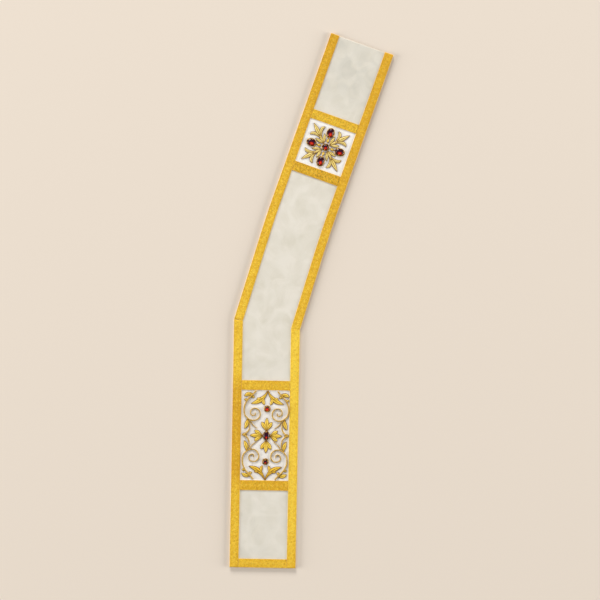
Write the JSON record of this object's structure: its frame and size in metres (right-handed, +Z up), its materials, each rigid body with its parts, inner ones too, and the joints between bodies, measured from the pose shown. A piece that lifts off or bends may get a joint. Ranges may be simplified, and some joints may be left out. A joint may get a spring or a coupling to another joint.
{
  "type": "deacon stole",
  "caption": "Long narrow stole folded once and lying flat with a bend at the hip, edged in gold ribbon, with two goldwork panels set with garnets.",
  "frame": {"origin": "middle of the stole's outline seen from above, on the table that it lies on", "axes": "+Z up from the table, +Y from the hem towards the fold at the shoulder, +X to the viewer's right across the stole"},
  "size_m": [0.3478, 1.136, 0.009],
  "materials": {
    "cream_satin": "cream damask satin with a faint tone-on-tone figure and a soft sheen",
    "white_satin": "near-white close-woven satin",
    "lining": "matt cream lining twill over interlining",
    "galloon": "woven gold jacquard ribbon with small rosettes and corded selvedges",
    "goldwork": "padded satin stitch in bright gold thread",
    "pale_goldwork": "padded satin stitch in antique gold thread",
    "setting": "polished gold-coloured metal rim with claws",
    "garnet": "polished dark red glass cabochon"
  },
  "bodies": {
    "root": {"hidden_layers": "lining", "ground_end": "cream_satin", "panel_cross": "white_satin", "ground_chest": "cream_satin", "panel_square": "white_satin", "ground_shoulder": "cream_satin", "galloon_left_hang": "galloon", "galloon_left_shoulder": "galloon", "galloon_right_hang": "galloon", "galloon_right_shoulder": "galloon", "galloon_hem": "galloon", "bar_below_cross": "galloon", "bar_above_cross": "galloon", "bar_below_square": "galloon", "bar_above_square": "galloon", "garnet_square_middle": "garnet", "garnet_square_east": "garnet", "garnet_square_north": "garnet", "garnet_square_west": "garnet", "garnet_square_south": "garnet", "garnet_cross_middle": "garnet", "garnet_cross_top": "garnet", "garnet_cross_bottom": "garnet", "setting_square_middle": "setting", "setting_square_east": "setting", "setting_square_north": "setting", "setting_square_west": "setting", "setting_square_south": "setting", "setting_cross_middle": "setting", "setting_cross_top": "setting", "setting_cross_bottom": "setting", "drop_east": "goldwork", "drop_north": "goldwork", "drop_west": "goldwork", "drop_south": "goldwork", "spray_ne": "pale_goldwork", "spray_nw": "pale_goldwork", "spray_sw": "pale_goldwork", "spray_se": "pale_goldwork", "cross_arm_east": "goldwork", "cross_arm_north": "goldwork", "cross_arm_west": "goldwork", "cross_arm_south": "goldwork", "vine_ne": "goldwork", "vine_nw": "goldwork", "vine_sw": "goldwork", "vine_se": "goldwork", "curl_right": "goldwork", "curl_left": "goldwork", "leaf_pair_top": "goldwork", "leaf_pair_bottom": "goldwork"}
  },
  "joints": []
}
